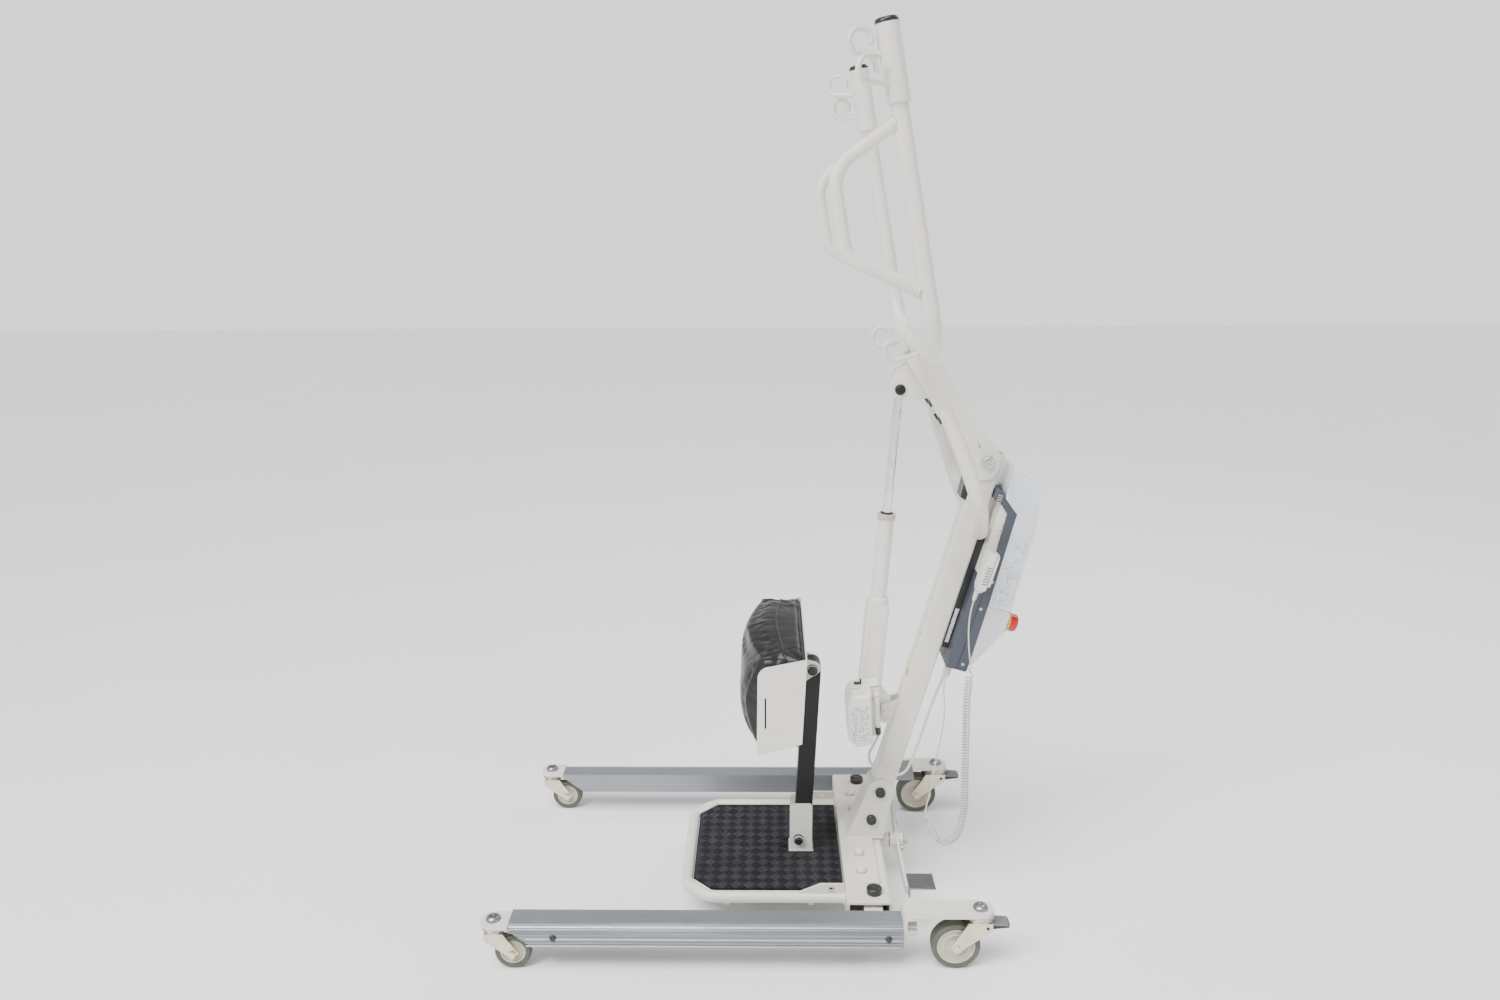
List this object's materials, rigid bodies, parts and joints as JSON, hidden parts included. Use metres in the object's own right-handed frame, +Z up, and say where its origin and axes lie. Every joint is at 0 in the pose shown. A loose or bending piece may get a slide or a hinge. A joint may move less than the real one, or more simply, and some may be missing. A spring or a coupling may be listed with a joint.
{
  "type": "sit to stand lift",
  "caption": "Wheeled patient stand-aid lift with a leaning mast, powered boom and U arm frame, knee pad, footplate, spreading legs, battery box and handset.",
  "frame": {"origin": "floor centre: the middle of the bounding box in X and Y, at the castors' contact height", "axes": "+Z up, +X to the rear where the carer stands behind the mast, +Y to the patient's left, open ends of the legs at -X"},
  "size_m": [1.1535, 0.696, 1.8077],
  "materials": {
    "cream_coat": "semi-gloss powder coat",
    "black_coat": "satin powder coat",
    "anodised": "blue-grey anodised",
    "zinc": "zinc plated",
    "fork_zinc": "yellow-cream plated",
    "steel": "brushed",
    "chrome": "polished",
    "black_plastic": "fine grain",
    "anthracite_plastic": "fine grain",
    "cream_plastic": "smooth",
    "light_grey_plastic": "smooth",
    "pale_blue_plastic": "smooth",
    "red_plastic": "smooth",
    "grip_rubber": "soft grip",
    "mat_rubber": "woven pattern",
    "cord_rubber": "smooth",
    "tyre": "worn",
    "leather": "wrinkled"
  },
  "bodies": {
    "base": {"cross_member": "cream_coat", "cross_member_plate": "cream_coat", "frame_bolts": "zinc", "frame_bolt_caps": "black_plastic", "mast_foot": "cream_coat", "mast_tube": "cream_coat", "mast_head_block": "black_plastic", "boom_pivot_shaft": "zinc", "push_handles": "cream_coat", "actuator_mast_bracket": "cream_coat", "footplate_frame": "cream_coat", "footplate_tray": "zinc", "footplate_mat": "mat_rubber", "knee_post_clevis": "cream_coat", "control_box_rail": "black_plastic", "control_box_body": "anthracite_plastic", "control_unit_cover": "cream_plastic", "control_box_shell": "light_grey_plastic", "handset_body": "light_grey_plastic", "cord_plugs": "cream_plastic", "handset_cord_leads": "cord_rubber", "handset_cord_coil": "cord_rubber", "motor_cable": "cord_rubber"},
    "boom": {"boom_beam": "cream_coat", "actuator_yoke": "cream_coat", "arm_frame": "cream_coat", "arm_sleeves": "cream_coat", "grip_loops": "cream_coat", "sling_hooks": "cream_coat", "boom_plugs": "black_plastic"},
    "actuator_body": {"actuator_column": "cream_plastic", "actuator_motor": "cream_plastic"},
    "actuator_rod": {"actuator_rod": "chrome"},
    "leg_left": {"leg_left": "anodised", "leg_brackets_left": "cream_coat", "leg_fasteners_left": "zinc"},
    "swivel_front_left": {"castor_fork_front_left": "fork_zinc"},
    "wheel_front_left": {"castor_wheel_front_left": "tyre"},
    "swivel_rear_left": {"castor_fork_rear_left": "fork_zinc"},
    "wheel_rear_left": {"castor_wheel_rear_left": "tyre"},
    "brake_left": {"brake_pedal_left": "black_plastic"},
    "leg_right": {"leg_right": "anodised", "leg_brackets_right": "cream_coat", "leg_fasteners_right": "zinc"},
    "swivel_front_right": {"castor_fork_front_right": "fork_zinc"},
    "wheel_front_right": {"castor_wheel_front_right": "tyre"},
    "swivel_rear_right": {"castor_fork_rear_right": "fork_zinc"},
    "wheel_rear_right": {"castor_wheel_rear_right": "tyre"},
    "brake_right": {"brake_pedal_right": "black_plastic"},
    "rocker": {"rocker_bar": "cream_coat", "foot_pedals": "steel"},
    "knee_post": {"knee_post": "black_coat"},
    "knee_plunger": {"knee_post_plunger": "black_plastic"},
    "knee_pad": {"knee_pad_shell": "cream_coat", "knee_pad_bracket": "cream_coat", "knee_pad_cushion": "leather"},
    "battery": {"battery_pack": "pale_blue_plastic"},
    "stop_button": {"emergency_stop_button": "red_plastic"},
    "up_button": {"handset_up_button": "grip_rubber"},
    "down_button": {"handset_down_button": "grip_rubber"}
  },
  "joints": [
    {"name": "boom_hinge", "type": "hinge", "parent": "base", "child": "boom", "pos_m": [0.456, 0, 0.99], "axis": [0, -1, 0], "range_deg": [0, 62]},
    {"name": "actuator_pivot", "type": "hinge", "parent": "base", "child": "actuator_body", "pos_m": [0.261, 0, 0.421], "axis": [0, -1, 0], "range_deg": [-0.5, 3.5]},
    {"name": "actuator_stroke", "type": "slide", "parent": "actuator_body", "child": "actuator_rod", "axis": [0.0732, 0, 0.9973], "range_m": [-0.246, 0.002]},
    {"name": "leg_left_spread", "type": "hinge", "parent": "base", "child": "leg_left", "pos_m": [0.22, 0.236, 0.09], "axis": [0, 0, -1], "range_deg": [0, 10.4]},
    {"name": "leg_right_spread", "type": "hinge", "parent": "base", "child": "leg_right", "pos_m": [0.22, -0.236, 0.09], "axis": [0, 0, 1], "range_deg": [-0.2, 10.6]},
    {"name": "rocker_tilt", "type": "hinge", "parent": "base", "child": "rocker", "pos_m": [0.297, 0, 0.098], "axis": [-1, 0, 0], "range_deg": [-0.4, 21.2]},
    {"name": "swivel_front_left", "type": "hinge", "parent": "leg_left", "child": "swivel_front_left", "pos_m": [-0.559, 0.317, 0.09], "axis": [0, 0, 1], "continuous": true},
    {"name": "swivel_rear_left", "type": "hinge", "parent": "leg_left", "child": "swivel_rear_left", "pos_m": [0.427, 0.308, 0.11], "axis": [0, 0, 1], "continuous": true},
    {"name": "wheel_front_left", "type": "hinge", "parent": "swivel_front_left", "child": "wheel_front_left", "pos_m": [-0.521, 0.317, 0.0375], "axis": [0, 1, 0], "continuous": true},
    {"name": "wheel_rear_left", "type": "hinge", "parent": "swivel_rear_left", "child": "wheel_rear_left", "pos_m": [0.379, 0.308, 0.05], "axis": [0, 1, 0], "continuous": true},
    {"name": "brake_left", "type": "hinge", "parent": "swivel_rear_left", "child": "brake_left", "pos_m": [0.44, 0.308, 0.097], "axis": [0, 1, 0], "range_deg": [0, 12]},
    {"name": "swivel_front_right", "type": "hinge", "parent": "leg_right", "child": "swivel_front_right", "pos_m": [-0.559, -0.317, 0.09], "axis": [0, 0, 1], "continuous": true},
    {"name": "swivel_rear_right", "type": "hinge", "parent": "leg_right", "child": "swivel_rear_right", "pos_m": [0.427, -0.308, 0.11], "axis": [0, 0, 1], "continuous": true},
    {"name": "wheel_front_right", "type": "hinge", "parent": "swivel_front_right", "child": "wheel_front_right", "pos_m": [-0.521, -0.317, 0.0375], "axis": [0, 1, 0], "continuous": true},
    {"name": "wheel_rear_right", "type": "hinge", "parent": "swivel_rear_right", "child": "wheel_rear_right", "pos_m": [0.379, -0.308, 0.05], "axis": [0, 1, 0], "continuous": true},
    {"name": "brake_right", "type": "hinge", "parent": "swivel_rear_right", "child": "brake_right", "pos_m": [0.44, -0.308, 0.097], "axis": [0, 1, 0], "range_deg": [0, 12]},
    {"name": "knee_post_lean", "type": "hinge", "parent": "base", "child": "knee_post", "pos_m": [0.068, 0, 0.1137], "axis": [0, 1, 0], "range_deg": [-6, 6]},
    {"name": "knee_pad_tilt", "type": "hinge", "parent": "knee_post", "child": "knee_pad", "pos_m": [0.0967, 0, 0.5256], "axis": [0, 1, 0], "range_deg": [0, 15]},
    {"name": "knee_plunger_pull", "type": "slide", "parent": "knee_post", "child": "knee_plunger", "axis": [0, 1, 0], "range_m": [0, 0.008], "stiffness_N_per_m": 400},
    {"name": "battery_release", "type": "slide", "parent": "base", "child": "battery", "axis": [0.9632, 0, -0.2689], "range_m": [0, 0.06]},
    {"name": "stop_press", "type": "slide", "parent": "base", "child": "stop_button", "axis": [-0.9632, 0, 0.2689], "range_m": [0, 0.005], "stiffness_N_per_m": 800},
    {"name": "up_press", "type": "slide", "parent": "base", "child": "up_button", "axis": [-0.9632, 0, 0.2689], "range_m": [0, 0.0015], "stiffness_N_per_m": 500},
    {"name": "down_press", "type": "slide", "parent": "base", "child": "down_button", "axis": [-0.9632, 0, 0.2689], "range_m": [0, 0.0015], "stiffness_N_per_m": 500}
  ],
  "couplings": [
    {"joint": "actuator_pivot", "follows": "boom_hinge", "ratio": 0.033091},
    {"joint": "actuator_stroke", "follows": "boom_hinge", "m_per_rad": -0.22377},
    {"joint": "leg_right_spread", "follows": "leg_left_spread", "ratio": 1},
    {"joint": "rocker_tilt", "follows": "leg_left_spread", "ratio": 2}
  ]
}
